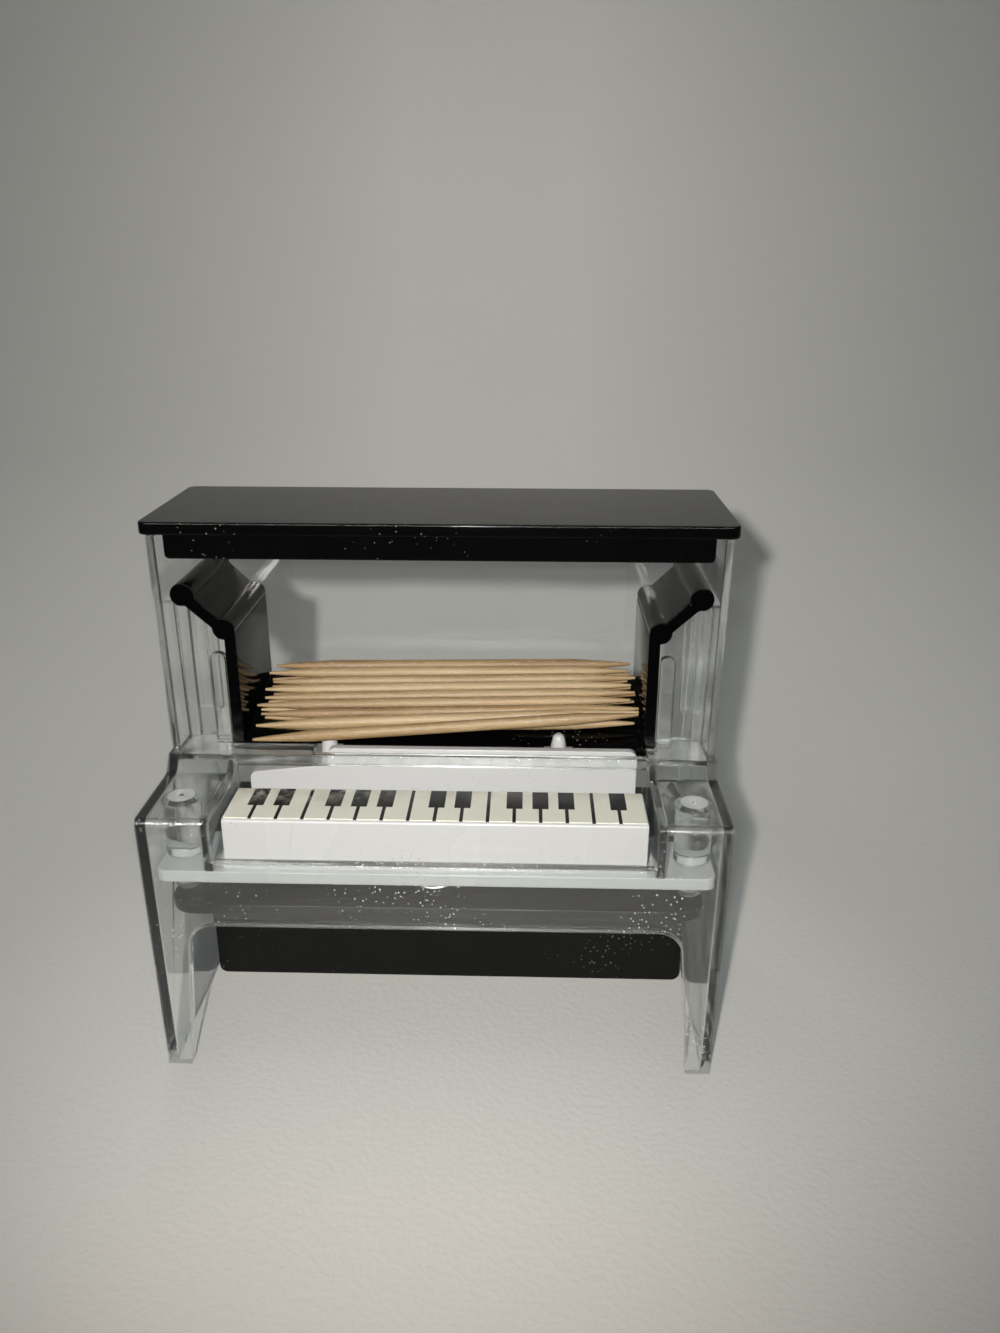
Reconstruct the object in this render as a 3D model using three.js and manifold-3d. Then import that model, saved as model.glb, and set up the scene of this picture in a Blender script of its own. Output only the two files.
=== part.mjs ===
// Toothpick dispenser shaped like a small upright piano, in millimetres, +Z up.
// X runs along the keyboard, Y from the front to the back, and the origin is the centre of the
// footprint on the table. A clear case stands round a black base, a white keyboard moulding rides on
// two posts over a spring, a black hopper holds the picks, and a black lid closes the top.
import * as THREE from 'three';
import { mergeVertices } from 'three/addons/utils/BufferGeometryUtils.js';
import Module from 'manifold-3d';

const wasm = await Module();
wasm.setup();

// Toothpicks set the size of everything that holds or lifts them
const pickLength = 66.5;
const pickRadius = 1.05;
const pickTaper = 10;
const pickTipRadius = 0.28;
const pickGap = 0.12;
const pickRowGap = 0.2;
const pickEndRoom = 1.35;
const pickSides = 12;
const servedGap = 0.45;
const servedSink = 0.05;
const servedRise = 4.9;
const servedSwing = 1.6;
const servedShare = 0.3;
const fingerPickSwing = 2.6;
const fingerPickRise = 2.3;
const fingerPickShare = 0.6;

// Fits and steps shared by the pieces
const touchGap = 0.3;
const slideGap = 0.3;
const overrun = 0.6;
const arcSteps = 6;
const roundSides = 20;
const curlSteps = 8;
const wireSides = 5;
const nearSteps = 4;
const weldTolerance = 0.0001;

// Base: heights start at its shelf, which stands above the table
const floorTop = 30.2;
const floorThickness = 1.8;
const floorSetBack = 1.2;
const floorSetIn = 0.3;
const floorRadius = 4;
const boxSetBack = 1.5;
const boxSideGap = 0.6;
const boxWall = 2;
const boxRadius = 1.5;

// Clear case
const wall = 1.3;
const wallLean = 1.1;
const sideBay = 9.2;
const bedFrontY = 0;
const bedRise = 9.8;
const bedSlope = 1.5;
const ledgeDepth = 2.2;
const ledgeRise = 2.6;
const ledgeReach = 4.3;
const upperSetBack = 2.3;
const headRoom = 10.8;
const panelLift = 0.8;
const footDepth = 6;
const footRamp = 1.2;
const footWidth = 4;
const frontThickness = 1.8;
const ledgeThickness = 1.8;
const caseFillet = 1.2;

// The key bed: the opening between the two end blocks, the front rail and the arch under it
const bedSetOut = 0.4;
const bedWall = 1.3;
const railRise = 2.2;
const archDrop = 2.6;
const archRadius = 4;
const archSetIn = 6.3;
const barDepth = 1.5;
const barHeight = 1.9;
const shelfEndX = -22;

// Two round posts guide the keyboard
const postY = 8.6;
const postRadius = 2.3;
const postShoulder = 0.7;
const postTipRadius = 1.1;
const postTipHeight = 1.1;
const postRim = 0.54;

// Clear stops beside the hopper and the ribs that carry it
const stopWidth = 2.5;
const stopThickness = 1.5;
const stopHeight = 16.4;
const stopRoundShare = 0.45;
const ribWidth = 2.2;
const ribThickness = 1.5;
const ribSetIn = 3.4;

// Keyboard moulding
const pressRoom = 4.7;
const plateThickness = 2;
const plateSideGap = 0.3;
const plateFrontGap = 0.4;
const wingSetIn = 0.5;
const wingRadius = 1.6;
const wingBackRadius = 2.4;
const keySideGap = 1.2;
const keySetBack = 1.5;
const keyDepth = 11;
const keyRise = 8.1;
const keyWall = 1.6;
const keyRib = 1.2;
const keyRibX = 12;
const keyFillet = 0.5;
const boardSetIn = 0.6;
const boardThickness = 1.4;
const boardRise = 0.6;
const boardStepX = -19.6;
const boardPassGap = 0.8;
const boardEndDrop = 1.5;
const boardRadius = 1.3;
const boardToHopper = 1.9;
const fingerX = 20;
const fingerRise = 1.7;
const fingerTaper = 2.5;
const fingerRootRadius = 2;
const fingerRadius = 1.45;
const fingerTipRadius = 1;
const tabRim = 1;
const tabRadius = 0.8;

// Printed label that lies on the key block
const labelThickness = 0.2;
const labelMargin = 0.2;

// Return spring
const springWire = 0.5;
const springPitch = 2.1;
const springSideGap = 0.22;
const springBossGap = 0.68;
const springBossHeight = 3.6;
const springPipHeight = 0.9;

// Hopper
const hopperRows = 8;
const hopperBackRoom = 1.18;
const hopperDrop = 0.6;
const hopperFloorRise = 5.1;
const hopperFloorThickness = 2;
const cheekThickness = 1.9;
const cheekHeight = 21.3;
const cheekBeadRadius = 1.9;
const wingRise = 5.9;
const wingEndGap = 0.46;
const wingBeadRadius = 2;
const wingThickness = 2.3;
const wingSole = 1.9;
const slotSideGap = 1.05;
const slotBackGap = 0.7;

// Lid
const lidThickness = 2.1;
const lidSideOverhang = 0.9;
const lidFrontOverhang = 1.3;
const lidBackOverhang = 1;
const lidRadius = 1.5;
const apronSideGap = 1.4;
const apronDrop = 4.2;
const apronThickness = 1.8;
const apronRadius = 0.8;
const rearLipDrop = 3;
const rearLipSetIn = 4.1;

// Heights, upwards from the base's shelf
const archTop = floorTop - archDrop;
const plateBottom = floorTop + pressRoom;
const plateTop = plateBottom + plateThickness;
const railTop = plateTop + railRise;
const bedWallBottom = plateTop + touchGap;
const bedTop = plateTop + bedRise;
const keyTop = plateTop + keyRise;
const keyCeiling = keyTop - keyWall;
const ledgeTop = bedTop + ledgeRise;
const boardTop = ledgeTop + boardRise;
const boardStepTop = ledgeTop - ledgeThickness - boardPassGap;
const boardEndTop = boardStepTop - boardEndDrop;
const fingerTop = ledgeTop + fingerRise;
const hopperFloorFront = ledgeTop - hopperDrop;
const hopperFloorBack = hopperFloorFront + hopperFloorRise;
const hopperBottom = hopperFloorFront - hopperFloorThickness;
const cheekBend = hopperFloorFront + cheekHeight;
const wingTop = cheekBend + wingRise;
const caseTop = wingTop + headRoom;
const lidBottom = caseTop + touchGap;
const stopTop = ledgeTop + stopHeight;
const springBottom = floorTop + touchGap;
const springTop = keyCeiling - touchGap;

// Depths, backwards from the front of the key bed
const plateFrontY = bedFrontY + frontThickness + plateFrontGap;
const keyFrontY = plateFrontY + keySetBack;
const keyBackY = keyFrontY + keyDepth;
const wingBackY = keyBackY - wingSetIn;
const springY = (keyFrontY + keyBackY) / 2;
const springRadius = keyDepth / 2 - keyWall - springSideGap - springWire / 2;
const springBossRadius = springRadius - springWire / 2 - springBossGap;
const bedBackY = keyBackY + bedSlope;
const ledgeFrontY = bedBackY + ledgeDepth;
const upperFrontY = ledgeFrontY + upperSetBack;
const boardFrontY = ledgeFrontY + barDepth + slideGap;
const hopperFrontY = boardFrontY + boardThickness + boardToHopper;
const shelfBackY = hopperFrontY - touchGap;
const ledgeBackY = hopperFrontY + ledgeReach;
const fingerY = hopperFrontY + fingerRadius;
const firstRowY = fingerY + fingerRadius + pickRadius + pickGap;
const pickRowPitch = 2 * pickRadius + pickRowGap;
const hopperBackY = firstRowY + (hopperRows - 1) * pickRowPitch + pickRadius + hopperBackRoom;
const caseInnerBackY = hopperBackY + touchGap;
const caseBackY = caseInnerBackY + wall;
const floorFrontY = bedFrontY + frontThickness + floorSetBack;
const boxFrontY = hopperFrontY + boxSetBack;
const lidFrontY = upperFrontY - lidFrontOverhang;
const lidBackY = caseBackY + lidBackOverhang;
const originY = (bedFrontY + lidBackY) / 2;

// Half widths, outwards from the toothpicks
const hopperHalfWidth = pickLength / 2 + pickEndRoom;
const endLedgeX = hopperHalfWidth + cheekThickness + touchGap;
const footHalfWidth = hopperHalfWidth + cheekThickness + sideBay;
const topHalfWidth = footHalfWidth + wallLean;
const widthAt = (z) => footHalfWidth + (wallLean * z) / caseTop;
const bedHalfWidth = hopperHalfWidth + bedSetOut;
const keyHalfWidth = bedHalfWidth - keySideGap;
const boardHalfWidth = keyHalfWidth - boardSetIn;
const plateHalfWidth = widthAt(plateBottom) - wall - plateSideGap;
const postX = plateHalfWidth - postRim - slideGap - postRadius;
const footInnerHalfWidth = footHalfWidth - footWidth;
const archHalfWidth = footHalfWidth - archSetIn;
const boxHalfWidth = footHalfWidth - wall - boxSideGap;
const floorHalfWidth = boxHalfWidth - floorSetIn;
const wingReach = widthAt(wingTop) - wall - wingEndGap - wingBeadRadius;
const slotHalfWidth = fingerRadius + slotSideGap;
const slotDepth = fingerY - hopperFrontY + fingerRadius + slotBackGap;
const tabHalfWidth = fingerRootRadius + tabRim;
const lidHalfWidth = topHalfWidth + lidSideOverhang;
const apronHalfWidth = topHalfWidth - wall - apronSideGap;
const rearLipHalfWidth = apronHalfWidth - rearLipSetIn;

const clear = new THREE.MeshStandardMaterial({
  color: 0xe4ebea, roughness: 0.08, metalness: 0, transparent: true, opacity: 0.35,
});
const black = new THREE.MeshStandardMaterial({ color: 0x0b0b0c, roughness: 0.22, metalness: 0 });
const white = new THREE.MeshStandardMaterial({ color: 0xe9edf3, roughness: 0.35, metalness: 0 });
const paper = new THREE.MeshStandardMaterial({ color: 0xe6e4d2, roughness: 0.6, metalness: 0 });
const steel = new THREE.MeshStandardMaterial({ color: 0xb9bcc0, roughness: 0.3, metalness: 1 });
const birch = new THREE.MeshStandardMaterial({ color: 0xc9a773, roughness: 0.75, metalness: 0 });

// Solids: a geometry becomes a closed solid for joining and cutting, and comes back as a mesh
function toSolid(geometry) {
  const plain = geometry.clone();
  plain.deleteAttribute('normal');
  plain.deleteAttribute('uv');
  const merged = mergeVertices(plain, weldTolerance);
  return new wasm.Manifold(new wasm.Mesh({
    numProp: 3,
    vertProperties: new Float32Array(merged.attributes.position.array),
    triVerts: new Uint32Array(merged.index.array),
  }));
}

function toGeometry(solid) {
  const mesh = solid.getMesh();
  const geometry = new THREE.BufferGeometry();
  geometry.setAttribute('position', new THREE.BufferAttribute(new Float32Array(mesh.vertProperties), 3));
  geometry.setIndex(new THREE.BufferAttribute(new Uint32Array(mesh.triVerts), 1));
  return geometry;
}

const join = (solids) => solids.reduce((whole, solid) => whole.add(solid));
const cut = (solid, tools) => tools.reduce((rest, tool) => rest.subtract(tool), solid);

function addMesh(group, name, shape, material) {
  const geometry = shape.isBufferGeometry ? shape : toGeometry(shape);
  const mesh = new THREE.Mesh(geometry, material);
  mesh.name = name;
  group.add(mesh);
  return mesh;
}

// An outline from corners [a, b] or [a, b, radius]; a corner with a radius becomes an arc
function outline(corners) {
  const points = [];
  corners.forEach(([a, b, radius = 0], i) => {
    const corner = new THREE.Vector2(a, b);
    if (radius === 0) {
      points.push(corner);
      return;
    }
    const [beforeA, beforeB] = corners[(i + corners.length - 1) % corners.length];
    const [afterA, afterB] = corners[(i + 1) % corners.length];
    const back = new THREE.Vector2(beforeA, beforeB).sub(corner).normalize();
    const ahead = new THREE.Vector2(afterA, afterB).sub(corner).normalize();
    const half = Math.acos(back.dot(ahead)) / 2;
    const inward = back.clone().add(ahead).normalize();
    const centre = corner.clone().addScaledVector(inward, radius / Math.sin(half));
    const first = corner.clone().addScaledVector(back, radius / Math.tan(half)).sub(centre);
    const last = corner.clone().addScaledVector(ahead, radius / Math.tan(half)).sub(centre);
    const turn = Math.atan2(first.cross(last), first.dot(last));
    for (let step = 0; step <= arcSteps; step += 1) {
      const arm = first.clone().rotateAround(new THREE.Vector2(), (turn * step) / arcSteps);
      points.push(arm.add(centre));
    }
  });
  return new THREE.Shape(points);
}

function prism(shape, depth, matrix) {
  const geometry = new THREE.ExtrudeGeometry(shape, { depth, bevelEnabled: false });
  geometry.applyMatrix4(matrix);
  return geometry;
}

// Corners in (y, z), run along X from x0 to x1
function prismX(corners, x0, x1) {
  const axes = new THREE.Matrix4().makeBasis(
    new THREE.Vector3(0, 1, 0), new THREE.Vector3(0, 0, 1), new THREE.Vector3(1, 0, 0),
  );
  return toSolid(prism(outline(corners), x1 - x0, axes.setPosition(x0, 0, 0)));
}

// Corners in (x, z), run along Y from y0 to y1
function prismY(corners, y0, y1) {
  const axes = new THREE.Matrix4().makeBasis(
    new THREE.Vector3(1, 0, 0), new THREE.Vector3(0, 0, 1), new THREE.Vector3(0, -1, 0),
  );
  return toSolid(prism(outline(corners), y1 - y0, axes.setPosition(0, y1, 0)));
}

// Corners in (x, y), run along Z from z0 to z1
function prismZ(corners, z0, z1) {
  return toSolid(prism(outline(corners), z1 - z0, new THREE.Matrix4().setPosition(0, 0, z0)));
}

const rectangle = (a0, a1, b0, b1) => [[a0, b0], [a1, b0], [a1, b1], [a0, b1]];

function block(x0, x1, y0, y1, z0, z1) {
  const geometry = new THREE.BoxGeometry(x1 - x0, y1 - y0, z1 - z0);
  geometry.translate((x0 + x1) / 2, (y0 + y1) / 2, (z0 + z1) / 2);
  return toSolid(geometry);
}

// A turned solid about the vertical line through (x, y); the profile is radius and height
function turned(profile, x, y, sides = roundSides) {
  const points = profile.map(([radius, z]) => new THREE.Vector2(radius, z));
  const geometry = new THREE.LatheGeometry(points, sides);
  geometry.rotateX(Math.PI / 2);
  geometry.translate(x, y, 0);
  return toSolid(geometry);
}

const span = (side, near, far) => (side < 0 ? [-far, -near] : [near, far]);

// Clear case: two leaning side walls, a back, a front panel on two legs, and the key bed
function sideWall(side) {
  const silhouette = [
    [bedFrontY, 0], [footDepth, 0], [footDepth + footRamp, panelLift], [caseBackY, panelLift],
    [caseBackY, caseTop], [upperFrontY, caseTop], [upperFrontY, ledgeTop],
    [ledgeFrontY, ledgeTop, caseFillet / 2], [bedBackY, bedTop, caseFillet],
    [bedFrontY, bedTop, caseFillet],
  ];
  const lean = wallLean / caseTop;
  const upright = prismX(silhouette, ...span(side, footHalfWidth - wall, footHalfWidth));
  return upright.warp((vertex) => {
    vertex[0] += side * lean * vertex[2];
  });
}

function frontPanel() {
  const rise = (side) => [
    [side * footHalfWidth, 0],
    [side * widthAt(bedTop), bedTop],
    [side * bedHalfWidth, bedTop],
    [side * bedHalfWidth, railTop],
  ];
  const arch = (side) => [
    [side * archHalfWidth, archTop, archRadius],
    [side * footInnerHalfWidth, 0],
  ];
  const corners = [...rise(1), ...rise(-1).reverse(), ...arch(-1).reverse(), ...arch(1)];
  const panel = prismY(corners, bedFrontY, bedFrontY + frontThickness);
  const roundedEdge = [
    [bedFrontY, 0], [bedFrontY + frontThickness, 0], [bedFrontY + frontThickness, bedTop],
    [bedFrontY, bedTop, caseFillet],
  ];
  return panel.intersect(prismX(roundedEdge, -topHalfWidth, topHalfWidth));
}

function bedEnd(side) {
  const top = [
    [bedFrontY + frontThickness / 2, bedTop - bedWall], [bedBackY + bedWall / 2, bedTop - bedWall],
    [ledgeFrontY + bedWall, ledgeTop - ledgeThickness], [ledgeBackY, ledgeTop - ledgeThickness],
    [ledgeBackY, ledgeTop], [ledgeFrontY, ledgeTop, caseFillet / 2],
    [bedBackY, bedTop, caseFillet], [bedFrontY + frontThickness / 2, bedTop],
  ];
  const cheek = [
    [bedFrontY + frontThickness / 2, bedWallBottom], [ledgeFrontY + barDepth, bedWallBottom],
    [ledgeFrontY + barDepth, ledgeTop], [ledgeFrontY, ledgeTop, caseFillet / 2],
    [bedBackY, bedTop, caseFillet], [bedFrontY + frontThickness / 2, bedTop],
  ];
  const hopperRoom = block(
    ...span(side, bedHalfWidth - overrun, endLedgeX), shelfBackY, ledgeBackY + overrun,
    ledgeTop - ledgeThickness - overrun, ledgeTop + overrun,
  );
  const plates = join([
    prismX(top, ...span(side, bedHalfWidth, widthAt(bedTop) - wall / 2)),
    prismX(cheek, ...span(side, bedHalfWidth, bedHalfWidth + bedWall)),
  ]);
  return cut(plates, [hopperRoom]);
}

function guidePost(side) {
  const shoulder = plateTop + slideGap;
  const tip = floorTop + touchGap;
  const profile = [[0, tip]];
  for (let step = 1; step <= arcSteps; step += 1) {
    const angle = (Math.PI / 2) * (step / arcSteps);
    profile.push([
      postTipRadius + (postRadius - postTipRadius) * Math.sin(angle),
      tip + postTipHeight * (1 - Math.cos(angle)),
    ]);
  }
  const shoulderRadius = postRadius + postShoulder;
  profile.push([postRadius, shoulder], [shoulderRadius, shoulder]);
  profile.push([shoulderRadius, bedTop - bedWall / 2], [0, bedTop - bedWall / 2]);
  return turned(profile, side * postX, postY);
}

function hopperStop(side) {
  const [x0, x1] = span(side, endLedgeX, endLedgeX + stopWidth);
  const corners = [
    [x0, ledgeTop - ledgeThickness / 2], [x1, ledgeTop - ledgeThickness / 2],
    [x1, stopTop, stopWidth * stopRoundShare], [x0, stopTop, stopWidth * stopRoundShare],
  ];
  return prismY(corners, hopperFrontY, hopperFrontY + stopThickness);
}

function hopperRibs(side) {
  const top = wingTop - wingSole - touchGap;
  return [ledgeBackY - ribThickness, hopperBackY - ribSetIn - ribThickness].map((y) => block(
    ...span(side, widthAt(top) - wall - ribWidth, widthAt(ledgeTop) - wall / 2),
    y, y + ribThickness, ledgeTop - ledgeThickness / 2, top,
  ));
}

function makeCase() {
  const parts = [frontPanel()];
  for (const side of [-1, 1]) {
    parts.push(sideWall(side), bedEnd(side), guidePost(side), hopperStop(side), ...hopperRibs(side));
  }
  const back = [
    [-widthAt(panelLift), panelLift], [widthAt(panelLift), panelLift],
    [topHalfWidth, caseTop], [-topHalfWidth, caseTop],
  ];
  parts.push(prismY(back, caseInnerBackY, caseBackY));
  parts.push(block(
    -bedHalfWidth - overrun, bedHalfWidth + overrun, ledgeFrontY, ledgeFrontY + barDepth,
    ledgeTop - barHeight, ledgeTop,
  ));
  parts.push(block(
    -bedHalfWidth - overrun, shelfEndX, ledgeFrontY + barDepth / 2, shelfBackY,
    ledgeTop - ledgeThickness, ledgeTop,
  ));
  return join(parts);
}

// Black base: a box open underneath, with a shelf at its top that reaches forward under the keys
function makeBase() {
  const face = [
    [-boxHalfWidth, 0, boxRadius], [boxHalfWidth, 0, boxRadius],
    [boxHalfWidth, floorTop], [-boxHalfWidth, floorTop],
  ];
  const boxBackY = caseInnerBackY - touchGap;
  const hollow = block(
    boxWall - boxHalfWidth, boxHalfWidth - boxWall, boxFrontY + boxWall, boxBackY - boxWall,
    -overrun, floorTop - floorThickness,
  );
  const shelf = [
    [-floorHalfWidth, floorFrontY, floorRadius], [floorHalfWidth, floorFrontY, floorRadius],
    [floorHalfWidth, boxFrontY + boxWall / 2], [-floorHalfWidth, boxFrontY + boxWall / 2],
  ];
  const pip = [
    [0, floorTop - floorThickness / 2], [springBossRadius, floorTop - floorThickness / 2],
    [springBossRadius, floorTop + springPipHeight], [0, floorTop + springPipHeight],
  ];
  return join([
    cut(prismY(face, boxFrontY, boxBackY), [hollow]),
    prismZ(shelf, floorTop - floorThickness, floorTop),
    turned(pip, 0, springY),
  ]);
}

// White keyboard moulding: plate with two wings, hollow key block, rear board and two fingers
function keyboardPlate() {
  const boardBackY = boardFrontY + boardThickness;
  const tabBackY = fingerY + fingerRootRadius;
  const tab = (x) => [
    [x - tabHalfWidth, boardBackY], [x - tabHalfWidth, tabBackY, tabRadius],
    [x + tabHalfWidth, tabBackY, tabRadius], [x + tabHalfWidth, boardBackY],
  ];
  const corners = [
    [-plateHalfWidth, plateFrontY, wingRadius], [plateHalfWidth, plateFrontY, wingRadius],
    [plateHalfWidth, wingBackY, wingBackRadius], [boardHalfWidth, wingBackY, wingBackRadius],
    [boardHalfWidth, boardBackY],
    ...tab(fingerX).reverse(), ...tab(-fingerX).reverse(),
    [-boardHalfWidth, boardBackY],
    [-boardHalfWidth, wingBackY, wingBackRadius], [-plateHalfWidth, wingBackY, wingBackRadius],
  ];
  return prismZ(corners, plateBottom, plateTop);
}

function keyboardBoard() {
  const corners = [
    [-boardHalfWidth, plateTop - plateThickness / 2], [boardHalfWidth, plateTop - plateThickness / 2],
    [boardHalfWidth, boardTop, boardRadius], [boardStepX, boardTop, boardRadius],
    [boardStepX, boardStepTop, boardRadius / 2], [-boardHalfWidth, boardEndTop, boardRadius],
  ];
  return prismY(corners, boardFrontY, boardFrontY + boardThickness);
}

function keyboardFinger(side) {
  const profile = [
    [0, plateTop - plateThickness / 2], [fingerRootRadius, plateTop - plateThickness / 2],
    [fingerRootRadius, plateTop], [fingerRadius, fingerTop - fingerTaper],
    [fingerTipRadius, fingerTop - fingerTipRadius / 2], [fingerTipRadius / 2, fingerTop], [0, fingerTop],
  ];
  return turned(profile, side * fingerX, fingerY);
}

function makeKeyboard() {
  const keys = [
    [keyFrontY, plateTop - plateThickness / 2], [keyBackY, plateTop - plateThickness / 2],
    [keyBackY, keyTop, keyFillet], [keyFrontY, keyTop, keyFillet],
  ];
  const hollow = block(
    keyWall - keyHalfWidth, keyHalfWidth - keyWall, keyFrontY + keyWall, keyBackY - keyWall,
    plateBottom - overrun, keyCeiling,
  );
  const ribs = [-keyRibX, keyRibX].map((x) => block(
    x - keyRib / 2, x + keyRib / 2, keyFrontY + keyWall / 2, keyBackY - keyWall / 2,
    plateTop, keyTop - keyWall / 2,
  ));
  const boss = [
    [0, keyCeiling - springBossHeight], [springBossRadius, keyCeiling - springBossHeight],
    [springBossRadius, keyTop - keyWall / 2], [0, keyTop - keyWall / 2],
  ];
  const holes = [-1, 1].map((side) => turned([
    [0, plateBottom - overrun], [postRadius + slideGap, plateBottom - overrun],
    [postRadius + slideGap, plateTop + overrun], [0, plateTop + overrun],
  ], side * postX, postY));
  const shell = cut(join([keyboardPlate(), prismX(keys, -keyHalfWidth, keyHalfWidth)]), [hollow]);
  return join([
    cut(shell, holes), ...ribs, turned(boss, 0, springY), keyboardBoard(),
    keyboardFinger(-1), keyboardFinger(1),
  ]);
}

function makeLabel() {
  return block(
    labelMargin - keyHalfWidth, keyHalfWidth - labelMargin,
    keyFrontY + keyFillet, keyBackY - keyFillet, keyTop, keyTop + labelThickness,
  );
}

// Return spring: one wire with upright ends, wound between the base and the key block's ceiling
function springPath() {
  const lower = springBottom + springWire;
  const upper = springTop - springWire;
  const curls = Math.round((upper - lower) / springPitch);
  const steps = curls * curlSteps;
  const path = [new THREE.Vector3(springRadius, 0, springBottom)];
  for (let step = 0; step <= steps; step += 1) {
    const angle = (step / curlSteps) * 2 * Math.PI;
    path.push(new THREE.Vector3(
      springRadius * Math.cos(angle), springRadius * Math.sin(angle),
      lower + ((upper - lower) * step) / steps,
    ));
  }
  path.push(new THREE.Vector3(springRadius, 0, springTop));
  return path;
}

function leastSelfGap(path) {
  let least = Infinity;
  path.forEach((point, i) => {
    for (let j = i + nearSteps; j < path.length; j += 1) {
      least = Math.min(least, point.distanceTo(path[j]) - springWire);
    }
  });
  return least;
}

function makeSpring() {
  const path = springPath();
  const last = path.length - 1;
  const positions = [];
  path.forEach((point, i) => {
    const radial = new THREE.Vector3(point.x, point.y, 0).normalize();
    const along = path[Math.min(i + 1, last)].clone().sub(path[Math.max(i - 1, 0)]).normalize();
    along.addScaledVector(radial, -along.dot(radial)).normalize();
    const across = new THREE.Vector3().crossVectors(along, radial);
    for (let side = 0; side < wireSides; side += 1) {
      const angle = (side / wireSides) * 2 * Math.PI;
      const corner = point.clone()
        .addScaledVector(radial, (springWire / 2) * Math.cos(angle))
        .addScaledVector(across, (springWire / 2) * Math.sin(angle));
      positions.push(corner.x, corner.y, corner.z);
    }
  });
  const index = [];
  for (let ring = 0; ring < last; ring += 1) {
    for (let side = 0; side < wireSides; side += 1) {
      const a = ring * wireSides + side;
      const b = ring * wireSides + ((side + 1) % wireSides);
      index.push(a, b, a + wireSides, b, b + wireSides, a + wireSides);
    }
  }
  for (let side = 1; side < wireSides - 1; side += 1) {
    index.push(0, side + 1, side);
    index.push(last * wireSides, last * wireSides + side, last * wireSides + side + 1);
  }
  console.log(`return spring: least gap to itself ${leastSelfGap(path).toFixed(2)} mm`);
  const geometry = new THREE.BufferGeometry();
  geometry.setAttribute('position', new THREE.Float32BufferAttribute(positions, 3));
  geometry.setIndex(index);
  return geometry;
}

// Black hopper: two cheeks with beaded wings and a floor that slopes down to the front
function cheekProfile(side) {
  const inner = hopperHalfWidth;
  const outer = hopperHalfWidth + cheekThickness;
  const skew = wingThickness * Math.SQRT1_2;
  const corners = [
    [inner, hopperBottom], [outer, hopperBottom], [outer, cheekBend],
    [outer + skew / 2, cheekBend - skew / 2],
    [wingReach + skew / 2, wingTop - skew / 2],
    [wingReach - skew / 2, wingTop + skew / 2],
    [inner, wingTop + skew / 2 - (wingReach - skew / 2 - inner)],
  ];
  const mirrored = corners.map(([x, z]) => [side * x, z]);
  return side < 0 ? mirrored.reverse() : mirrored;
}

function beadRod(x, z, radius) {
  const geometry = new THREE.CylinderGeometry(radius, radius, hopperBackY - hopperFrontY, roundSides);
  geometry.translate(x, (hopperFrontY + hopperBackY) / 2, z);
  return toSolid(geometry);
}

function makeHopper() {
  const floor = [
    [hopperFrontY, hopperFloorFront - hopperFloorThickness],
    [hopperBackY, hopperFloorBack - hopperFloorThickness],
    [hopperBackY, hopperFloorBack], [hopperFrontY, hopperFloorFront],
  ];
  const parts = [prismX(floor, -hopperHalfWidth - overrun, hopperHalfWidth + overrun)];
  for (const side of [-1, 1]) {
    const sole = block(
      ...span(side, wingReach - wingBeadRadius * 2, wingReach + wingBeadRadius * 2),
      hopperFrontY - overrun, hopperBackY + overrun,
      wingTop - wingBeadRadius * 2, wingTop - wingSole,
    );
    parts.push(prismY(cheekProfile(side), hopperFrontY, hopperBackY));
    parts.push(cut(beadRod(side * wingReach, wingTop, wingBeadRadius), [sole]));
    parts.push(beadRod(side * (hopperHalfWidth + cheekBeadRadius), cheekBend, cheekBeadRadius));
  }
  const slots = [-fingerX, fingerX].map((x) => block(
    x - slotHalfWidth, x + slotHalfWidth, hopperFrontY - overrun, hopperFrontY + slotDepth,
    hopperFloorFront - hopperFloorThickness - overrun, hopperFloorBack,
  ));
  return cut(join(parts), slots);
}

// Black lid: a plate with a front apron between the case walls and a lip inside the back wall
function makeLid() {
  const plate = [
    [-lidHalfWidth, lidFrontY, lidRadius], [lidHalfWidth, lidFrontY, lidRadius],
    [lidHalfWidth, lidBackY, lidRadius], [-lidHalfWidth, lidBackY, lidRadius],
  ];
  const apron = [
    [-apronHalfWidth, lidBottom - apronDrop, apronRadius],
    [apronHalfWidth, lidBottom - apronDrop, apronRadius],
    [apronHalfWidth, lidBottom + lidThickness / 2], [-apronHalfWidth, lidBottom + lidThickness / 2],
  ];
  const lipBackY = caseInnerBackY - touchGap;
  return join([
    prismZ(plate, lidBottom, lidBottom + lidThickness),
    prismY(apron, upperFrontY, upperFrontY + apronThickness),
    block(
      -rearLipHalfWidth, rearLipHalfWidth, lipBackY - apronThickness, lipBackY,
      lidBottom - rearLipDrop, lidBottom + lidThickness / 2,
    ),
  ]);
}

// Toothpicks: turned, with a point at each end, placed by the height and depth of both ends
function pickGeometry() {
  const half = pickLength / 2;
  const profile = [
    [0, -half], [pickTipRadius, -half], [pickRadius, pickTaper - half],
    [pickRadius, half - pickTaper], [pickTipRadius, half], [0, half],
  ].map(([radius, along]) => new THREE.Vector2(radius, along));
  const geometry = mergeVertices(new THREE.LatheGeometry(profile, pickSides));
  return geometry.rotateZ(-Math.PI / 2);
}

const floorSlope = Math.atan2(hopperFloorBack - hopperFloorFront, hopperBackY - hopperFrontY);
const endSlack = hopperHalfWidth - touchGap - pickLength / 2;

// The point over the hopper floor that lies `along` behind the first row and `rise` layers up
function overFloor(along, layer) {
  const lift = pickRadius + pickGap + layer * (2 * pickRadius + pickGap);
  const y = firstRowY + along * Math.cos(floorSlope) - lift * Math.sin(floorSlope);
  const z = hopperFloorFront + (firstRowY - hopperFrontY) * Math.tan(floorSlope)
    + along * Math.sin(floorSlope) + lift * Math.cos(floorSlope);
  return [y, z];
}

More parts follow.
